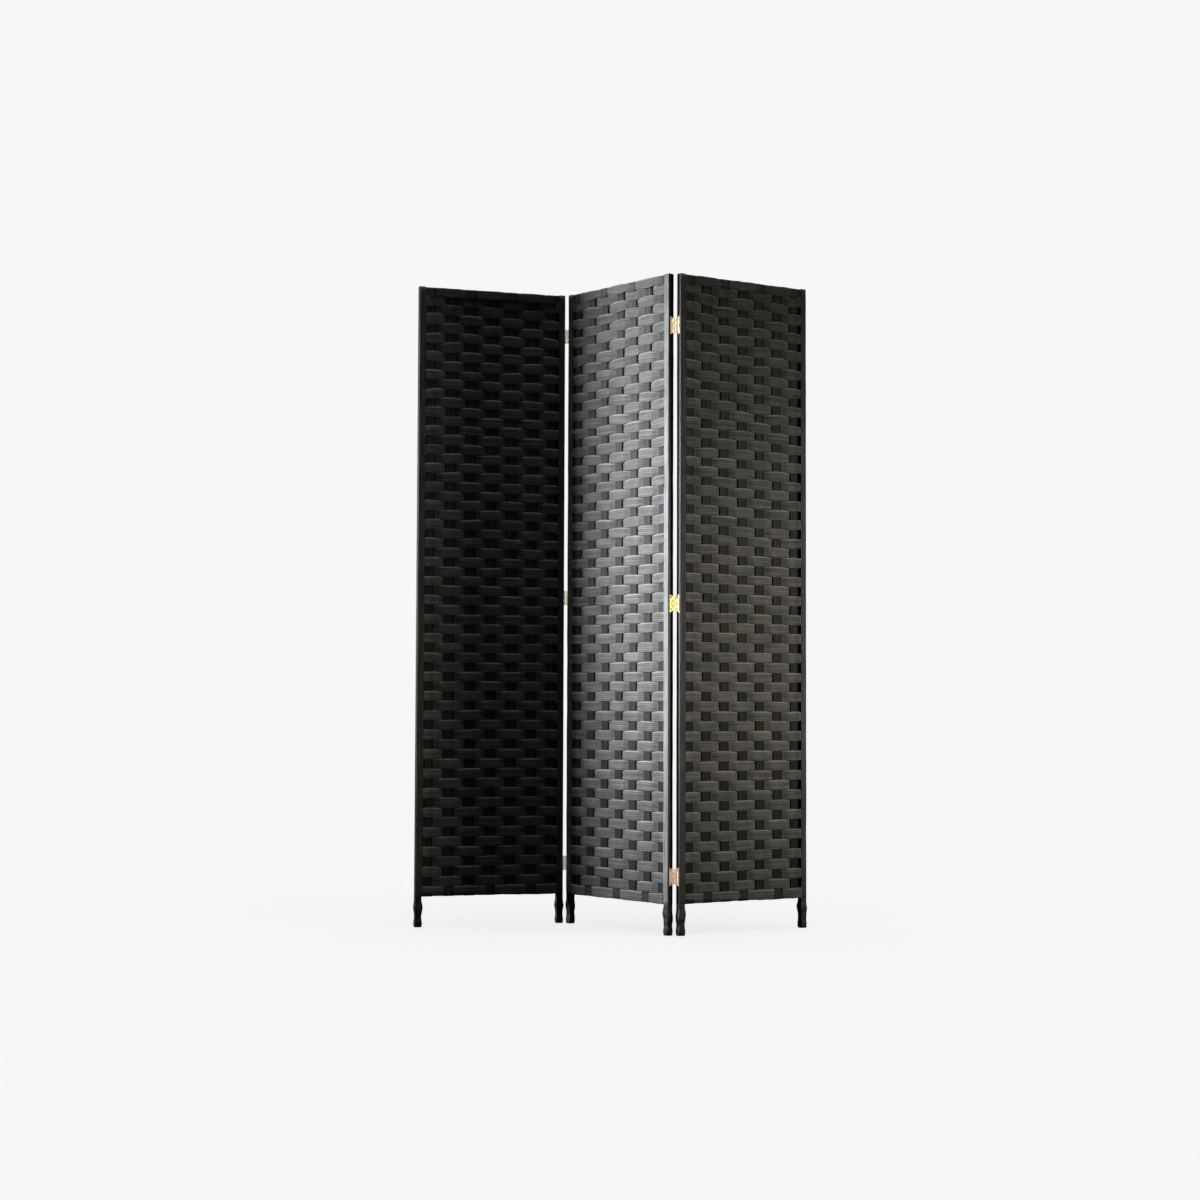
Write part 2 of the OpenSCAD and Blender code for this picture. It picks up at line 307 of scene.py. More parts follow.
def rounded_path(corners, radius, count, closed=False):
    """Evenly spaced points along a line with rounded corners, in a plane.

    Returns the points, the unit normals on the line's left, and its length.
    """
    corners = np.array(corners, float)
    last = len(corners) - 1
    dense = []
    for k, corner in enumerate(corners):
        if not closed and k in (0, last):
            dense.append(corner)
            continue
        before = unit(corners[k - 1] - corner)
        after = unit(corners[0 if k == last else k + 1] - corner)
        centre = corner + radius * (before + after)
        for turned in np.linspace(0, math.pi / 2, CORNER_STEPS):
            dense.append(centre - radius * (math.cos(turned) * after + math.sin(turned) * before))
    if closed:
        dense.append(dense[0])
    dense = np.array(dense)
    run = run_along(dense)
    wanted = np.linspace(0, run[-1], count + 1)
    points = np.stack([np.interp(wanted, run, dense[:, k]) for k in (0, 1)], axis=-1)
    if closed:
        points = points[:-1]
        ahead = np.roll(points, -1, axis=0) - np.roll(points, 1, axis=0)
    else:
        ahead = np.gradient(points, axis=0)
    ahead = unit(ahead)
    normals = np.stack([-ahead[:, 1], ahead[:, 0]], axis=-1)
    return points, normals, run[-1]


def tube(name, path, radius, sides=8):
    """Round wire or cord along the points of a path, with flat ends."""
    ahead = unit(np.gradient(path, axis=0))
    askew = [0.3, 0.2, 1.0]
    side = np.cross(ahead[0], askew)
    rings = []
    run = run_along(path)
    angles = np.arange(sides) * 2 * math.pi / sides
    for point, tangent in zip(path, ahead):
        side = unit(side - tangent * side.dot(tangent))
        up = np.cross(tangent, side)
        rings.append(point + radius * (np.cos(angles)[:, None] * side + np.sin(angles)[:, None] * up))
    uv = np.stack(np.broadcast_arrays(run[:, None], angles[None, :] / (2 * math.pi)), axis=-1)
    return lofted(name, np.array(rings), uv)


# ---------------------------------------------------------------- handmade unevenness


def smooth_noise(rng, shape, reach):
    """Random numbers of unit spread, each blended with its neighbours within reach along the first axis."""
    raw = rng.standard_normal((shape[0] + 2 * reach, *shape[1:]))
    kernel = np.hanning(2 * reach + 3)[1:-1]
    blended = [np.convolve(column, kernel, "valid") for column in raw.reshape(len(raw), -1).T]
    return np.array(blended).T.reshape(shape) / np.linalg.norm(kernel)


def grown(pair, share):
    """Between a first and a last value, at a share of the way from 0 to 1."""
    return pair[0] + (pair[1] - pair[0]) * share


def loosened(pair, share):
    """The same up a panel's height, for what comes loose only near the top."""
    return grown(pair, share**LOOSENING)


class Weave:
    """Where the slats and the rows of one panel's weave run."""

    def __init__(self, panel, rng):
        self.slat_width, self.pitch = self.measure_slats(panel)
        self.half = local_box(panel, "woven_ribbons")[1][0]
        self.low = local_box(panel, "bottom_band")[1][2]
        self.high = local_box(panel, "top_band")[0][2]
        self.rows_z = self.row_edges(self.low + RAIL_ROW_RISE)
        self.share = self.height_share(self.rows_z)
        places = (ROWS + 1, SLATS + 1)
        loose = EDGE_MIX * smooth_noise(rng, places, 3) + EDGE_MIX * rng.standard_normal(places)
        loose[-1] = 0
        self.edges = self.rows_z[:, None] + loosened(EDGE_WANDER, self.share)[:, None] * loose
        bends = ROWS // ROWS_PER_SLAT_BEND + 2
        self.bend_z = np.linspace(self.low, self.high, bends)
        wander = grown(SLAT_WANDER, self.height_share(self.bend_z))
        self.bends = wander[:, None] * smooth_noise(rng, (bends, SLATS), 1)
        self.bends[:, [0, -1]] *= OUTER_SLATS_SHARE
        self.waves = WAVE + WAVE_SPREAD * rng.uniform(-1, 1, (ROWS, SLATS))

    @staticmethod
    def measure_slats(panel):
        """Width of a slat, and the distance from one to the next."""
        x = local_points(panel, "slats")[:, 0]
        total = np.ptp(x)
        first = x[x < x.min() + total / SLATS]
        width = np.ptp(first)
        return width, (total - width) / (SLATS - 1)

    def row_edges(self, lowest):
        """Heights of the rows' edges; the rows get a little lower towards the top."""
        heights = 1 - ROW_SHRINK * np.linspace(-0.5, 0.5, ROWS)
        edges = np.concatenate([[0], np.cumsum(heights)])
        return lowest + (self.high - lowest) * edges / edges[-1]

    def height_share(self, z):
        return (z - self.low) / (self.high - self.low)

    def slat_x(self, z):
        """Middles of the slats at a height."""
        nominal = (np.arange(SLATS) - SLATS // 2) * self.pitch
        moved = [np.interp(z, self.bend_z, self.bends[:, k]) for k in range(SLATS)]
        return nominal + np.array(moved)

    def stations(self):
        """Places along a ribbon, from one edge band to the other."""
        reach = self.half + TUCK
        return np.linspace(-reach, reach, round(2 * reach / self.pitch * STATIONS_PER_SLAT) + 1)

    def passes(self, x, z):
        """A ribbon's number of slats passed at each place along it, from 0 at the first to SLATS - 1."""
        slat_x = self.slat_x(z)
        marks = np.concatenate([[slat_x[0] - self.pitch], slat_x, [slat_x[-1] + self.pitch]])
        return np.clip(np.interp(x, marks, np.arange(-1, SLATS + 1)), 0, SLATS - 1)

    @staticmethod
    def swing(passed):
        """From 1 on the first, third and so on of the slats to -1 on the others, in straight lines."""
        return 1 - 2 * np.abs(passed - 2 * np.round(passed / 2))

    def side(self, passed, first):
        """From 1, where a ribbon lies flat on a slat, to -1, where it is behind one.

        first is 1 for a ribbon that lies on the first slat, and -1 for one that lies behind it.
        """
        straight = np.clip(CROSSING * (first * self.swing(passed) + LEAD), -1, 1)
        return (1 - ROUNDING) * straight + ROUNDING * np.sin(math.pi / 2 * straight)

    def puff(self, passed):
        """From 0, between two slats, to 1, on or behind one."""
        return np.clip(2 * np.abs(self.swing(passed)), 0, 1)

    def row_edge(self, row, x, z):
        """Height of the line between two rows at each place along it."""
        slat_x = self.slat_x(z)
        gaps = np.concatenate([[x.min()], (slat_x[1:] + slat_x[:-1]) / 2, [x.max()]])
        return np.interp(x, gaps, self.edges[row])


# ---------------------------------------------------------------- pieces of a panel


def finish_piece(obj, panel, material, slot, *replaced):
    """Puts a piece made in a panel's own frame in its place, on its body."""
    obj.matrix_world = panel_place(panel)
    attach(obj, panel)
    obj.data.materials.append(material)
    if replaced:
        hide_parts(*[f"{panel}_{node}" for node in replaced])
    return obj


def make_ribbon(panel, rng, weave, row, material):
    """One ribbon, woven before and behind the slats by turns, filling its row from edge to edge."""
    z = (weave.rows_z[row] + weave.rows_z[row + 1]) / 2
    share = (weave.share[row] + weave.share[row + 1]) / 2
    x = weave.stations()
    passed = weave.passes(x, z)
    side = weave.side(passed, -1 if row % 2 == 0 else 1)
    wave = np.interp(passed, np.arange(SLATS), weave.waves[row])
    outermost = np.abs(weave.slat_x(z)[[0, -1]]).mean()
    rise = np.clip((np.abs(x) - outermost) / (x.max() - outermost), 0, 1)
    y = -side * (wave + (END_WAVE - wave) * rise)
    bulge = loosened(EDGE_BULGE, share) * weave.puff(passed) * (1 - rise)
    low = weave.row_edge(row, x, z) - bulge
    high = weave.row_edge(row + 1, x, z) + bulge
    slope = np.gradient(y, x)
    out = unit(np.stack([slope, -np.ones_like(x), np.zeros_like(x)], axis=-1))
    across = np.broadcast_to(UP, out.shape)
    middle = np.stack([x, y, (low + high) / 2], axis=-1)
    bow = loosened(RIBBON_BOW, share) * side
    obj = corded_strip(
        f"{panel}_ribbon_{row + 1:02d}", rng, middle, across, out, high - low, RIBBON_CORDS, x + row, bow
    )
    return finish_piece(obj, panel, material, "paper_ribbon", "woven_ribbons")


def make_rail_ribbon(panel, rng, weave, which, face, wedge, material):
    """The first or the last ribbon, on one face of its rail, woven over the slats' ends there."""
    box = local_box(panel, f"{which}_band")
    at_bottom = which == "bottom"
    row = 0 if at_bottom else ROWS
    sign = -1 if face == "front" else 1
    x = weave.stations() * -sign
    passed = weave.passes(x, weave.rows_z[row])
    side = weave.side(passed, -sign if at_bottom else sign)
    depth = box[1][1] + grown((RAIL_UNDER, RAIL_OVER), (side + 1) / 2)
    bulge = loosened(EDGE_BULGE, weave.share[row]) * weave.puff(passed) * (side + 1) / 2
    fray = FRAY * smooth_noise(rng, (len(x),), 3)
    inner = weave.row_edge(row, x, weave.rows_z[row])
    if at_bottom:
        slant = np.clip(1 - (x - x.min()) / (WEDGE_SHARE * np.ptp(x)), 0, 1)
        high, low = inner + bulge, box[0][2] - RAIL_DROP + wedge * slant + fray
    else:
        high, low = box[1][2] + TOP_REACH + fray, inner - bulge
    slope = np.gradient(depth, x) * sign
    out = unit(np.stack([-sign * slope, np.full_like(x, sign), np.zeros_like(x)], axis=-1))
    across = np.broadcast_to(UP, out.shape)
    middle = np.stack([x, sign * depth, (low + high) / 2], axis=-1)
    bow = np.full(len(x), RIBBON_BOW[0])
    name = f"{panel}_{which}_rail_ribbon_{face}"
    obj = corded_strip(name, rng, middle, across, out, high - low, RIBBON_CORDS, x, bow)
    return finish_piece(obj, panel, material, "paper_ribbon", f"{which}_band")


def make_slat_end(panel, rng, weave, which, index, material):
    """A slat's end, folded round the top or the bottom rail."""
    box = local_box(panel, f"{which}_band")
    reach = box[1][1] - FOLD_DEPTH
    if which == "bottom":
        open_z, fold_z = weave.rows_z[0] + SLAT_TUCK, box[0][2] + FOLD_DEPTH
    else:
        open_z, fold_z = weave.rows_z[-1] - SLAT_TUCK, box[1][2] - FOLD_DEPTH
    corners = [(-reach, open_z), (-reach, fold_z), (reach, fold_z), (reach, open_z)]
    points, normals, run = rounded_path(corners, CORNER_R, FOLD_STEPS)
    x = weave.slat_x(open_z)[index]
    middle = np.column_stack([np.full(len(points), x), points])
    out = np.column_stack([np.zeros(len(points)), normals])
    across = np.broadcast_to(ALONG_X, out.shape)
    along = np.linspace(0, run, len(points)) + index
    width = np.full(len(points), weave.slat_width)
    name = f"{panel}_slat_{which}_end_{index + 1}"
    obj = corded_strip(name, rng, middle, across, out, width, SLAT_CORDS, along)
    return finish_piece(obj, panel, material, "paper_slat", "slats")


def make_slat(panel, rng, weave, index, material):
    """One upright ribbon of the weave."""
    z = np.linspace(weave.low - SLAT_TUCK, weave.high + SLAT_TUCK, 2 * ROWS)
    x = np.array([weave.slat_x(height)[index] for height in z])
    middle = np.stack([x, np.zeros_like(z), z], axis=-1)
    across = np.broadcast_to(ALONG_X, middle.shape)
    out = np.broadcast_to(TO_FRONT, middle.shape)
    width = weave.slat_width * (1 + SLAT_WIDTH_SPREAD * smooth_noise(rng, (len(z),), 4))
    obj = corded_strip(f"{panel}_slat_{index + 1}", rng, middle, across, out, width, SLAT_CORDS, z + index)
    return finish_piece(obj, panel, material, "paper_slat", "slats")


def swept_band(name, rng, corners, start, end, to_space, cords):
    """Ribbon of cords folded round an edge: its section's corners are swept from start to end.

    to_space places the section at each distance on the way.
    """
    points, normals, _ = rounded_path(corners, CORNER_R, cords * STEPS_PER_CORD)
    stations = max(2, round((end - start) / BAND_STATION))
    run = np.linspace(start, end, stations)
    heights = ridge_heights(rng, stations, cords)
    drift = BAND_WANDER * smooth_noise(rng, (stations,), 4)
    outer = points[None] + normals[None] * (heights - RIDGE)[..., None] + drift[:, None, None] * normals[None]
    inner = np.broadcast_to(points - normals * BAND_CORE, outer.shape)
    section = np.concatenate([outer, inner[:, ::-1]], axis=1)
    rings = to_space(section, np.broadcast_to(run[:, None], section.shape[:2]))
    at, _ = cord_places(cords)
    uv = np.stack(np.broadcast_arrays(run[:, None], np.concatenate([at, at[::-1]])[None, :]), axis=-1)
    return lofted(name, rings, uv)


def upright(section, z):
    """Places a section drawn in X and Y at heights z."""
    return np.concatenate([section, z[..., None]], axis=-1)


def lying(section, x):
    """Places a section drawn in Y and Z at distances x along the panel."""
    return np.concatenate([x[..., None], section], axis=-1)


def make_edge_band(panel, rng, side, material):
    """Ribbon folded round a stile: over its front, its inner side and its back."""
    low, high = local_box(panel, f"edge_band_{side}")
    inner, outer = (low[0], high[0]) if side == "right" else (high[0], low[0])
    front, back = low[1], high[1]
    corners = [(outer, front), (inner, front), (inner, back), (outer, back)]
    if side == "left":
        corners = corners[::-1]
    cords = round((2 * abs(outer - inner) + back - front) / CORD_WIDTH)
    obj = swept_band(f"{panel}_edge_cords_{side}", rng, corners, low[2], high[2], upright, cords)
    return finish_piece(obj, panel, material, "edge_ribbon", f"edge_band_{side}")


def make_rail_band(panel, rng, which, material):
    """Ribbon folded round a rail: over its front, its outer edge and its back."""
    low, high = local_box(panel, f"{which}_band")
    front, back = low[1], high[1]
    edge, open_side = (high[2], low[2]) if which == "top" else (low[2], high[2])
    corners = [(front, open_side), (front, edge), (back, edge), (back, open_side)]
    if which == "bottom":
        corners = corners[::-1]
    cords = round((2 * (high[2] - low[2]) + back - front) / CORD_WIDTH)
    obj = swept_band(f"{panel}_{which}_cords", rng, corners, low[0], high[0], lying, cords)
    return finish_piece(obj, panel, material, "edge_ribbon", f"{which}_band")


def hump(share, middle, reach):
    """Bell curve that is 1 at its middle."""
    return np.exp(-(((share - middle) / reach) ** 2))


def leg_swell(rng, share, most):
    """How far one side of a leg's wrapping stands out, at shares of its height: a slack bulge, a waist."""
    bulge_at, waist_at = rng.uniform(*LEG_BULGE_AT), rng.uniform(*LEG_WAIST_AT)
    bulge = most * rng.uniform(*LEG_BULGE_SHARE) * hump(share, bulge_at, LEG_BULGE_REACH)
    waist = -LEG_WAIST * hump(share, waist_at, LEG_WAIST_REACH)
    foot = LEG_FOOT_SHARE * most * hump(share, LEG_FOOT_AT, LEG_FOOT_REACH)
    lumps = LEG_LUMPS * smooth_noise(rng, (len(share),), 3)
    below_top = np.clip((1 - share) / LEG_TOP_REACH, 0, 1)
    rounding = -LEG_END_ROUNDING * np.clip(1 - share / LEG_END_REACH, 0, 1)
    return (bulge + waist + foot + lumps) * below_top + rounding


def leg_swells(rng, side, share, normals):
    """How far a leg's wrapping stands out at shares of its height and at each place round it."""
    to_other_leg = 1 if side == "left" else -1
    sideways = normals[:, 0] * to_other_leg
    facing = np.clip([sideways, -sideways, normals[:, 1], -normals[:, 1]], 0, 1)
    swells = np.array([leg_swell(rng, share, most) for most in LEG_BULGES])
    return swells.T @ facing


def box_corners(reach):
    """Corners of a rectangle round the middle, with half its width and half its depth."""
    return [(reach[0], -reach[1]), (reach[0], reach[1]), (-reach[0], reach[1]), (-reach[0], -reach[1])]


def make_leg_wrap(panel, rng, side, material):
    """Cords gathered round a leg, slack in places."""
    low, high = local_box(panel, f"leg_wrap_{side}")
    stile_low, stile_high = local_box(panel, f"stile_{side}")
    middle = (low + high) / 2
    half = (high - low) / 2
    cords = round(4 * (half[0] + half[1]) / CORD_WIDTH)
    points, inwards, _ = rounded_path(box_corners(half), LEG_CORNER_R, cords * STEPS_PER_CORD, closed=True)
    normals = -inwards
    stations = round((high[2] - low[2]) / LEG_STATION)
    z = np.linspace(low[2], high[2], stations)
    share = (z - low[2]) / (high[2] - low[2])
    heights = ridge_heights(rng, stations, cords)[:, :-1] - RIDGE + leg_swells(rng, side, share, normals)
    outer = points[None] + normals[None] * heights[..., None]
    core = (stile_high - stile_low)[:2] / 2
    inner, _, _ = rounded_path(box_corners(core), LEG_CORE_CORNER_R, cords * STEPS_PER_CORD, closed=True)
    outer = upright(outer, np.broadcast_to(z[:, None], outer.shape[:2]))
    inner = upright(np.broadcast_to(inner[None], (stations, *inner.shape)), outer[..., 2])
    rings = np.concatenate([outer, inner[::-1]])
    rings[..., :2] += middle[:2]
    at, _ = cord_places(cords)
    along = np.concatenate([z, z[::-1]])
    uv = np.stack(np.broadcast_arrays(along[:, None], at[None, :-1]), axis=-1)
    sleeve = lofted(f"{panel}_leg_cords_{side}", rings, uv, capped=False)
    return finish_piece(sleeve, panel, material, "leg_ribbon", f"leg_wrap_{side}")


def make_foot_binding(panel, rng, side, material):
    """Turns of cord wound round the wrapping just above the foot."""
    low, high = local_box(panel, f"leg_wrap_{side}")
    middle = (low + high) / 2
    reach = (high - low)[:2] / 2 - FOOT_CORD_SINK
    loop, _, _ = rounded_path(box_corners(reach), FOOT_CORNER_R, FOOT_STEPS, closed=True)
    step = np.arange(FOOT_TURNS * FOOT_STEPS + 1)
    z = low[2] + FOOT_CORD_R * (FOOT_CORD_START + FOOT_CORD_RISE * step / FOOT_STEPS)
    wander = FOOT_CORD_WANDER * smooth_noise(rng, (len(step), 3), 5)
    path = np.column_stack([loop[step % FOOT_STEPS], z]) + wander
    path[:, :2] += middle[:2]
    cord = tube(f"{panel}_foot_binding_{side}", path, FOOT_CORD_R)
    return finish_piece(cord, panel, material, "leg_ribbon")


def make_panel(panel, seed, looks):
    """All the soft pieces of one panel."""
    rng = np.random.default_rng(seed)
    weave = Weave(panel, rng)
    # The left panel's slats take a copy of the slat paper painted paler, as painted light
    slat_material = looks["left_slat_lit" if panel == "left_panel" else "paper_slat"]
    for index in range(SLATS):
        make_slat(panel, rng, weave, index, slat_material)
        for which in ("bottom", "top"):
            make_slat_end(panel, rng, weave, which, index, slat_material)
    for row in range(ROWS):
        make_ribbon(panel, rng, weave, row, looks["paper_ribbon"])
    wedge = 0 if panel == "middle_panel" else WEDGE
    for which in ("bottom", "top"):
        for face in ("front", "back"):
            make_rail_ribbon(panel, rng, weave, which, face, wedge, looks["paper_ribbon"])
    # The middle panel's bands take a copy of the edge paper painted paler, as a painted highlight
    edge_material = looks["lit_edge_ribbon" if panel == "middle_panel" else "edge_ribbon"]
    for side in SIDES:
        make_edge_band(panel, rng, side, edge_material)
        make_leg_wrap(panel, rng, side, looks["leg_ribbon"])
        make_foot_binding(panel, rng, side, looks["leg_ribbon"])
    for which in ("top", "bottom"):
        make_rail_band(panel, rng, which, looks["edge_ribbon"])


# ---------------------------------------------------------------- materials


class Nodes:
    """Short names for building one material's nodes."""

    def __init__(self, name):
        self.material = bpy.data.materials.new(name)
        self.material.use_nodes = True
        self.tree = self.material.node_tree
        self.shader = self.tree.nodes["Principled BSDF"]

    def add(self, kind, **settings):
        node = self.tree.nodes.new(kind)
        for key, value in settings.items():
            setattr(node, key, value)
        return node

    def join(self, source, target):
        self.tree.links.new(source, target)

    def math(self, operation, *values):
        node = self.add("ShaderNodeMath", operation=operation)
        for k, value in enumerate(values):
            if isinstance(value, (int, float)):
                node.inputs[k].default_value = value
            else:
                self.join(value, node.inputs[k])
        return node.outputs[0]

    def total(self, *values):
        """Sum of two or more values."""
        result = values[0]
        for value in values[1:]:
            result = self.math("ADD", result, value)
        return result

    def product(self, *values):
        """Product of two or more values."""
        result = values[0]
        for value in values[1:]:
            result = self.math("MULTIPLY", result, value)
        return result

    def split(self, vector):
        """The X, Y and Z of a vector."""
        node = self.add("ShaderNodeSeparateXYZ")
        self.join(vector, node.inputs[0])
        return node.outputs["X"], node.outputs["Y"], node.outputs["Z"]

    def coords(self, kind):
        return self.add("ShaderNodeTexCoord").outputs[kind]

    def stretched(self, source, scale):
        node = self.add("ShaderNodeMapping")
        node.inputs["Scale"].default_value = scale
        self.join(source, node.inputs["Vector"])
        return node.outputs["Vector"]

    def noise(self, vector, scale, detail, roughness=0.55):
        node = self.add("ShaderNodeTexNoise")
        node.inputs["Scale"].default_value = scale
        node.inputs["Detail"].default_value = detail
        node.inputs["Roughness"].default_value = roughness
        self.join(vector, node.inputs["Vector"])
        return node.outputs["Fac"]

    def ramp(self, value, stops):
        node = self.add("ShaderNodeValToRGB")
        elements = node.color_ramp.elements
        for element, (place, colour) in zip(elements, stops):
            element.position = place
            element.color = (*colour, 1)
        self.join(value, node.inputs["Fac"])
        return node.outputs["Color"]

    def remap(self, value, low, high, to_low, to_high):
        node = self.add("ShaderNodeMapRange")
        for name, number in (("From Min", low), ("From Max", high), ("To Min", to_low), ("To Max", to_high)):
            node.inputs[name].default_value = number
        self.join(value, node.inputs["Value"])
        return node.outputs["Result"]

    def multiply(self, colour, factor):
        node = self.add("ShaderNodeVectorMath", operation="MULTIPLY")
        self.join(colour, node.inputs[0])
        self.join(factor, node.inputs[1])
        return node.outputs[0]

    def bump(self, height, distance, strength):
        node = self.add("ShaderNodeBump")
        node.inputs["Distance"].default_value = distance
        node.inputs["Strength"].default_value = strength
        self.join(height, node.inputs["Height"])
        self.join(node.outputs["Normal"], self.shader.inputs["Normal"])


def cord_creases(n, along, inside, number, place):
    """Spiral creases: they climb across each cord, and each cord starts elsewhere in its turn."""
    turns = n.total(
        n.product(along, 1 / CREASE_PITCH),
        n.product(inside, CREASE_SLANT),
        n.product(number, CREASE_STEP),
        n.product(n.noise(place, scale=160, detail=2), CREASE_JITTER),
    )
    return n.math("SINE", n.product(turns, 2 * math.pi))


def cord_tones(n, cord_at, inside, valley_shade, valley_reach, edges):
    """Painted shade in the valleys between the cords, with some dye settled there, and the painted light and
    shade of the first and the last cord.
    """
    # Painted shade in the valleys between the cords, with some dye settled there
    tone = n.remap(n.math("PINGPONG", inside, 0.5), 0.0, valley_reach, valley_shade, 1.0)
    # The first and the last cord are painted light and shade: a painted shadow along a ribbon's lower edge, a
    # painted highlight along its top edge, and a painted shadow along a slat's last edge
    if edges:
        cords, first_tone, last_tone = edges
        first = n.remap(cord_at, 0.0, 0.7, first_tone, 1.0)
        last = n.remap(cord_at, cords - 1.0, cords - 0.5, 1.0, last_tone)
        tone = n.product(tone, first, last)
    return tone


def cord_dye(n, along, number, place, dark, light):
    """Blotchy dye: each cord has its own depth of it, which drifts along the cord."""
    blotch = n.noise(place, scale=22, detail=4, roughness=0.6)
    dye_place = n.add("ShaderNodeCombineXYZ")
    n.join(n.product(along, DYE_DRIFT), dye_place.inputs["X"])
    n.join(n.product(number, DYE_STEP), dye_place.inputs["Y"])
    dye = n.noise(dye_place.outputs[0], scale=1, detail=1, roughness=0.5)
    depth = n.total(n.product(blotch, 1 - DYE_SHARE), n.product(dye, DYE_SHARE))
    return n.ramp(depth, [(0.34, dark), (0.66, light)])


def paper_cord(
    name, dark, light, roughness, specular, valley_shade=0.1, valley_reach=0.26, top_shading=1.0, edges=None
):
    """Dyed paper twisted into cords: spiral creases, blotchy dye, and valleys between the cords painted
    darker, as painted shade with some dye settled there.

    top_shading is how many times paler the colour is painted at the top of a panel than at its foot, as
    painted light and shade, and edges the ribbon's number of cords and the painted tone of its first and its
    last one.
    """
    n = Nodes(name)
    along, cord_at, _ = n.split(n.coords("UV"))
    inside = n.math("FRACT", cord_at)
    number = n.math("FLOOR", cord_at)
    place = n.coords("Object")
    crease = cord_creases(n, along, inside, number, place)
    fibre = n.noise(place, scale=900, detail=3)
    n.bump(n.total(n.product(crease, CREASE_SHARE), fibre), CORD_RELIEF, 0.7)
    colour = cord_dye(n, along, number, place, dark, light)
    tone = cord_tones(n, cord_at, inside, valley_shade, valley_reach, edges)
    # Upper flanks are painted paler: a painted highlight of light from above
    _, _, upwards = n.split(n.add("ShaderNodeNewGeometry").outputs["Normal"])
    flank_light = n.remap(upwards, 0.1, 0.8, 1.0, UPPER_FLANK_LIGHT)
    _, _, height = n.split(place)
    # Painted light and shade that change with height, towards the factor given for the top of a panel
    height_shading = n.remap(height, SHADING_LOW, SHADING_HIGH, 1.0, top_shading)
    n.join(n.multiply(colour, n.product(tone, flank_light, height_shading)), n.shader.inputs["Base Color"])
    n.join(n.remap(fibre, 0.3, 0.7, roughness - 0.07, roughness + 0.1), n.shader.inputs["Roughness"])
    n.shader.inputs["Specular IOR Level"].default_value = specular
    return n.material


def painted_wood(name):
    """Black satin paint over wood: faint upright grain, and brown showing where it has rubbed."""
    n = Nodes(name)
    place = n.coords("Object")
    grain = n.noise(n.stretched(place, (260, 260, 9)), scale=1, detail=5, roughness=0.6)
    rub = n.noise(place, scale=34, detail=5, roughness=0.65)
    black, grey = (0.0035, 0.0033, 0.0035), (0.011, 0.0105, 0.0105)
    brown = (0.05, 0.034, 0.021)
    paint = n.ramp(grain, [(0.3, black), (0.75, grey)])
    worn = n.add("ShaderNodeMix", data_type="RGBA")
    worn.inputs["B"].default_value = (*brown, 1)
    n.join(n.remap(rub, 0.7, 0.82, 0.0, 0.5), worn.inputs["Factor"])
    n.join(paint, worn.inputs["A"])
    n.join(worn.outputs["Result"], n.shader.inputs["Base Color"])
    n.join(n.remap(grain, 0.25, 0.8, 0.36, 0.5), n.shader.inputs["Roughness"])
    n.bump(grain, distance=0.2 * MM, strength=0.7)
    return n.material


def bare_wood(name):
    """Turned dowel wood with fine grain along it."""
    n = Nodes(name)
    place = n.coords("Object")
    grain = n.noise(n.stretched(place, (40, 420, 420)), scale=1, detail=5, roughness=0.6)
    late_wood, early_wood = (0.42, 0.27, 0.14), (0.66, 0.48, 0.29)
    n.join(n.ramp(grain, [(0.3, late_wood), (0.75, early_wood)]), n.shader.inputs["Base Color"])
    n.join(n.remap(grain, 0.3, 0.7, 0.55, 0.75), n.shader.inputs["Roughness"])
    n.bump(grain, distance=0.2 * MM, strength=0.6)
    return n.material


def brass(name, bright, tarnished, roughness):
    """Stamped sheet brass: rolling lines and patches of tarnish."""
    n = Nodes(name)
    place = n.coords("Object")
    patches = n.noise(place, scale=120, detail=5, roughness=0.62)
    lines = n.noise(n.stretched(place, (1400, 1400, 60)), scale=1, detail=2)
    n.join(n.ramp(patches, [(0.36, tarnished), (0.56, bright)]), n.shader.inputs["Base Color"])
    n.shader.inputs["Metallic"].default_value = 1.0
    n.join(n.remap(patches, 0.3, 0.7, roughness + 0.16, roughness), n.shader.inputs["Roughness"])
    n.bump(n.total(lines, patches), distance=0.06 * MM, strength=0.6)
    return n.material


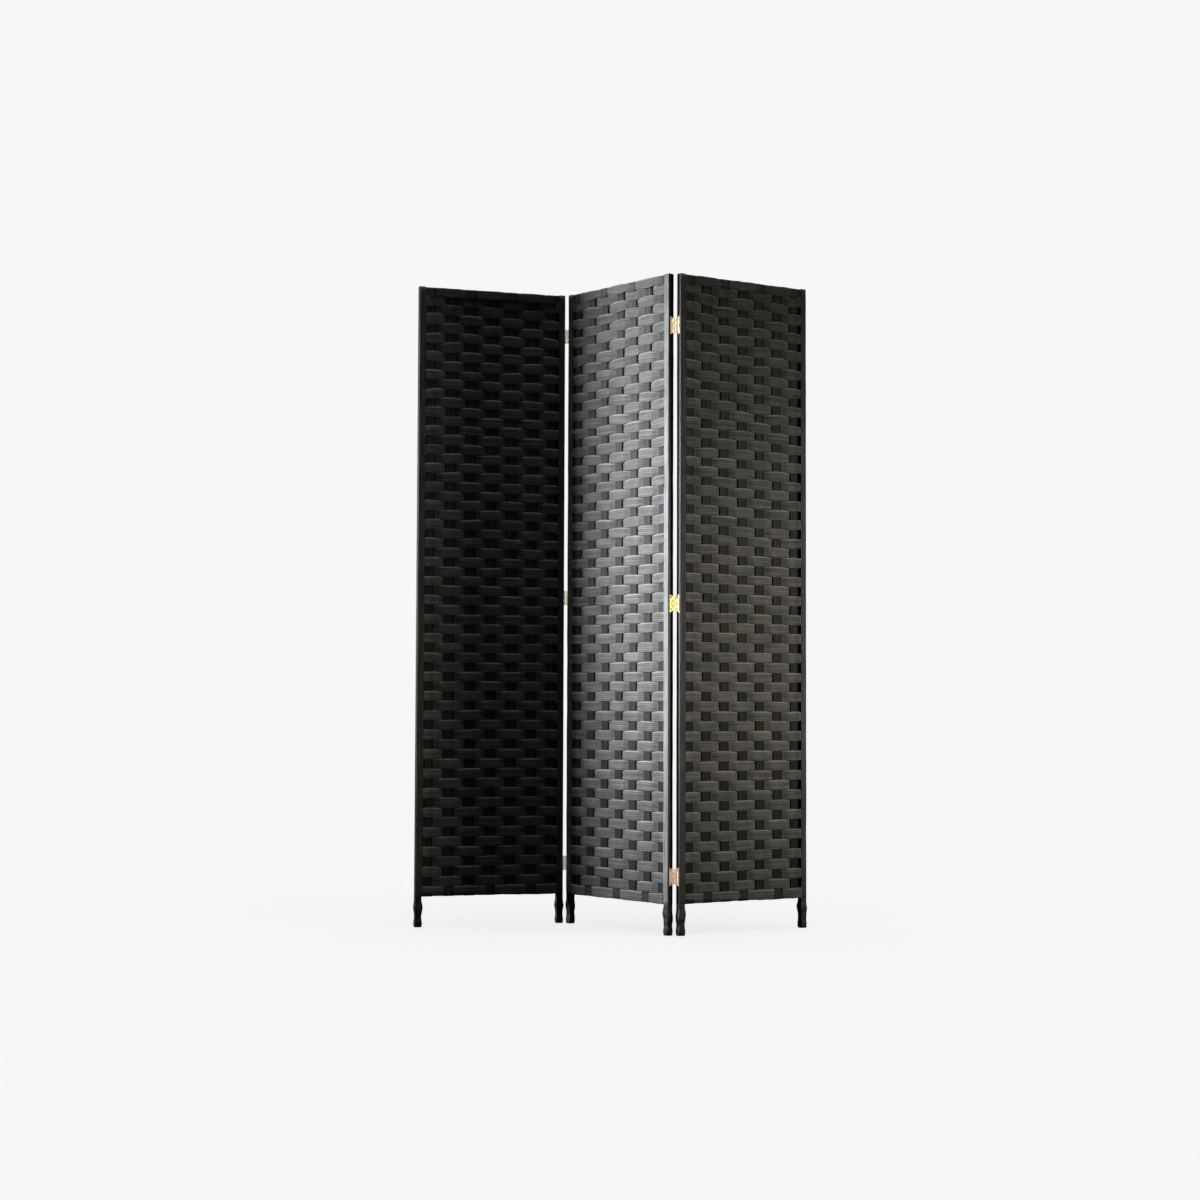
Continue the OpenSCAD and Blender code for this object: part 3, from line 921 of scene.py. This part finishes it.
def paper_looks():
    """The ribbons' materials, with copies painted paler, as painted light, for the left panel's slats and the
    middle's edges.
    """
    return {
        # The ribbon's first cord is painted darker and its last paler: a painted shadow under each ribbon and
        # a painted highlight along its top edge
        "paper_ribbon": paper_cord(
            "woven paper cord", dark=(0.059, 0.0573, 0.0542), light=(0.142, 0.1378, 0.1294),
            roughness=0.66, specular=0.2, valley_shade=0.35, top_shading=0.85, edges=(RIBBON_CORDS, 0.3, 1.6),
        ),
        # The slat paper is painted much darker than the ribbons': painted shade of the recessed squares,
        # deepest at the foot, with a painted shadow along each slat's last edge
        "paper_slat": paper_cord(
            "slat paper cord", dark=(0.009, 0.0087, 0.0083), light=(0.022, 0.0212, 0.0201),
            roughness=0.64, specular=0.14, valley_reach=0.36, top_shading=3.3, edges=(SLAT_CORDS, 0.9, 0.2),
        ),
        # A paler copy of the slat paper for the left panel: painted light on slats that stand in that panel's
        # shade
        "left_slat_lit": paper_cord(
            "slat paper cord with painted light", dark=(0.023, 0.0222, 0.0210), light=(0.055, 0.0530, 0.0500),
            roughness=0.64, specular=0.14, valley_reach=0.36, top_shading=1.5, edges=(SLAT_CORDS, 0.9, 0.3),
        ),
        "edge_ribbon": paper_cord(
            "edge paper cord", dark=(0.040, 0.0390, 0.0360), light=(0.094, 0.091, 0.084),
            roughness=0.66, specular=0.2,
        ),
        # A paler copy of the edge paper for the middle panel, palest at its foot: a painted highlight of the
        # light its upright cords catch from the left
        "lit_edge_ribbon": paper_cord(
            "edge paper cord with painted light", dark=(0.140, 0.141, 0.144), light=(0.310, 0.312, 0.318),
            roughness=0.62, specular=0.35, top_shading=0.64,
        ),
        "leg_ribbon": paper_cord(
            "leg paper cord", dark=(0.004, 0.0039, 0.0046), light=(0.013, 0.0124, 0.0140),
            roughness=0.46, specular=0.36,
        ),
    }


def hard_looks():
    """Materials of the wood and the brass; the ridge hinges' brass goes by their level, each level's copy
    with its own painted reflection tint.
    """
    return {
        "painted_wood": painted_wood("black painted wood"),
        "dowel_wood": bare_wood("dowel wood"),
        "screw_brass": brass("screw brass", (0.80, 0.56, 0.22), (0.30, 0.17, 0.06), 0.3),
        "pin_brass": brass("pin brass", (0.95, 0.84, 0.56), (0.80, 0.62, 0.34), 0.26),
        # The valley hinges' brass is painted near white, and each level of ridge hinge has a copy tinted
        # paler, brighter or reddish: painted reflections of what each hinge sees
        "valley_brass": brass("valley brass", (0.98, 0.95, 0.84), (0.92, 0.86, 0.68), 0.4),
        "hinge_brass_top": brass("brass with painted pale reflection", (0.98, 0.92, 0.72), (0.93, 0.70, 0.48), 0.34),
        "hinge_brass_middle": brass("brass with painted bright reflection", (0.96, 0.92, 0.48), (0.86, 0.78, 0.28), 0.34),
        "hinge_brass_bottom": brass("brass with painted reddish reflection", (1.0, 0.84, 0.70), (0.98, 0.60, 0.42), 0.45),
    }


# ---------------------------------------------------------------- CAD pieces that stay


def soften(obj, width):
    """Breaks the sharp edges of a CAD piece."""
    bevel = obj.modifiers.new("softened edges", "BEVEL")
    bevel.width = width
    bevel.segments = 2
    bevel.limit_method = "ANGLE"
    bevel.angle_limit = math.radians(40)


def cad_look(name, looks):
    """Material of a CAD piece, and how far its edges are softened, if they are."""
    if name.endswith("hinge_screws"):
        return looks["screw_brass"], None
    if name.endswith("corner_dowels"):
        return looks["dowel_wood"], None
    if "hinge" not in name:
        return looks["painted_wood"], WOOD_EDGE
    side, _, level = name.split("_")[:3]
    if side == "left":
        return looks["valley_brass"], BRASS_EDGE
    if name.endswith("pin"):
        return looks["pin_brass"], BRASS_EDGE
    return looks[f"hinge_brass_{level}"], BRASS_EDGE


def dress_cad(looks):
    """Materials and softened edges for the wood, the hinges and the screws."""
    for name, obj in frame["nodes"].items():
        material, edge = cad_look(name, looks)
        if edge:
            soften(obj, edge)
        obj.data.materials.clear()
        obj.data.materials.append(material)


# ---------------------------------------------------------------- stage, lights and camera


def make_floor():
    """Pale floor that runs out of sight, with a faint soft shadow under the screen."""
    mesh = bpy.data.meshes.new("floor")
    corners = [(FLOOR_REACH * x, FLOOR_REACH * y, 0) for x, y in ((-1, -1), (1, -1), (1, 1), (-1, 1))]
    mesh.from_pydata(corners, [], [(0, 1, 2, 3)])
    floor = bpy.data.objects.new("floor", mesh)
    bpy.context.scene.collection.objects.link(floor)
    floor.location.z = -FLOOR_DROP
    material = bpy.data.materials.new("pale floor")
    material.use_nodes = True
    shader = material.node_tree.nodes["Principled BSDF"]
    shader.inputs["Base Color"].default_value = (0.8, 0.8, 0.8, 1)
    shader.inputs["Roughness"].default_value = 1.0
    shader.inputs["Specular IOR Level"].default_value = 0.0
    shader.inputs["Emission Color"].default_value = (1, 1, 1, 1)
    shader.inputs["Emission Strength"].default_value = FLOOR_GLOW
    mesh.materials.append(material)
    floor.visible_diffuse = False
    floor.visible_glossy = False
    floor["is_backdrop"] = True
    return floor


def make_world():
    """Even pale surroundings for the camera; dimmer to everything else, so that the screen stays black."""
    world = bpy.data.worlds.new("surroundings")
    bpy.context.scene.world = world
    world.use_nodes = True
    nodes, links = world.node_tree.nodes, world.node_tree.links
    background = nodes["Background"]
    path = nodes.new("ShaderNodeLightPath")
    level = nodes.new("ShaderNodeMapRange")
    level.inputs["To Min"].default_value = AMBIENT
    level.inputs["To Max"].default_value = BACKDROP
    links.new(path.outputs["Is Camera Ray"], level.inputs["Value"])
    links.new(level.outputs["Result"], background.inputs["Strength"])
    background.inputs["Color"].default_value = (1, 1, 1, 1)


def aimed(obj, place, target):
    obj.location = place
    obj.rotation_mode = "QUATERNION"
    obj.rotation_quaternion = (Vector(target) - Vector(place)).to_track_quat("-Z", "Y")


def area_light(name, bearing, distance, height, target_z, size, power, colour, spread=180):
    """Soft rectangular light at a compass bearing round the screen, counted from +X towards +Y."""
    light = bpy.data.lights.new(name, "AREA")
    light.shape = "RECTANGLE"
    light.size, light.size_y = size
    light.energy = power
    light.spread = math.radians(spread)
    light.color = colour
    obj = bpy.data.objects.new(name, light)
    bpy.context.scene.collection.objects.link(obj)
    a = math.radians(bearing)
    aimed(obj, (distance * math.cos(a), distance * math.sin(a), height), (0, 0, target_z))
    obj.visible_camera = False
    return obj


def lit_only(lights, name, receivers):
    """Keeps lights to some of the objects."""
    group = bpy.data.collections.new(name)
    for obj in receivers:
        group.objects.link(obj)
    for light in lights:
        light.light_linking.receiver_collection = group


def make_screen_lights():
    """Lamps for the screen alone, and one more for its brass."""
    window = area_light(
        "window", bearing=182.5, distance=3.2, height=1.25, target_z=1.2, size=(1.2, 0.9),
        power=50, colour=(0.98, 1.0, 1.035), spread=56,
    )
    right_fill = area_light(
        "right fill", bearing=-18, distance=3.0, height=0.85, target_z=0.78, size=(0.85, 0.7),
        power=6.8, colour=(1.0, 0.955, 0.84), spread=58,
    )
    overhead = area_light(
        "overhead", bearing=250, distance=0.2, height=6.5, target_z=0.9, size=(2.2, 2.2),
        power=140, colour=(1.0, 1.0, 1.0),
    )
    back_fill = area_light(
        "back fill", bearing=92, distance=3.6, height=1.9, target_z=0.9, size=(3.0, 2.4),
        power=75, colour=(1.0, 0.99, 0.97),
    )
    lit_only([window, right_fill, overhead, back_fill], "lit by the lamps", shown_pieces())
    glint = area_light(
        "glint", bearing=-88, distance=3.5, height=1.3, target_z=0.9, size=(3.0, 2.2),
        power=72, colour=(1.0, 0.99, 0.95),
    )
    hinges = [obj for name, obj in frame["nodes"].items() if "hinge" in name]
    lit_only([glint], "lit by the glint", hinges)


def make_sky(floor):
    """A broad sun that only the floor sees."""
    light = bpy.data.lights.new("sky", "SUN")
    light.energy = SKY
    light.angle = math.radians(SKY_ANGLE)
    sky = bpy.data.objects.new("sky", light)
    bpy.context.scene.collection.objects.link(sky)
    aimed(sky, (0.4, -0.6, 4), (0, 0, 0))
    lit_only([sky], "lit by the sky", [floor])


def make_camera():
    """Camera of the photograph, fitted to the tops and the feet of the panels."""
    camera = bpy.data.cameras.new("camera")
    camera.lens = FOCAL_LENGTH
    camera.sensor_width = SENSOR_WIDTH
    camera.clip_end = 200
    obj = bpy.data.objects.new("camera", camera)
    bpy.context.scene.collection.objects.link(obj)
    pitch, roll = math.radians(CAMERA_PITCH), math.radians(CAMERA_ROLL)
    turn = Matrix.Rotation(math.pi / 2 + pitch, 4, "X") @ Matrix.Rotation(roll, 4, "Z")
    obj.matrix_world = Matrix.Translation(CAMERA_PLACE) @ turn
    bpy.context.scene.camera = obj


def set_tones():
    view = bpy.context.scene.view_settings
    view.view_transform = "Standard"
    view.look = "None"


# ---------------------------------------------------------------- the scene

looks = paper_looks() | hard_looks()
dress_cad(looks)
for seed, panel in enumerate(PANELS, start=11):
    make_panel(panel, seed, looks)
floor = make_floor()
make_world()
make_screen_lights()
make_sky(floor)
make_camera()
set_tones()
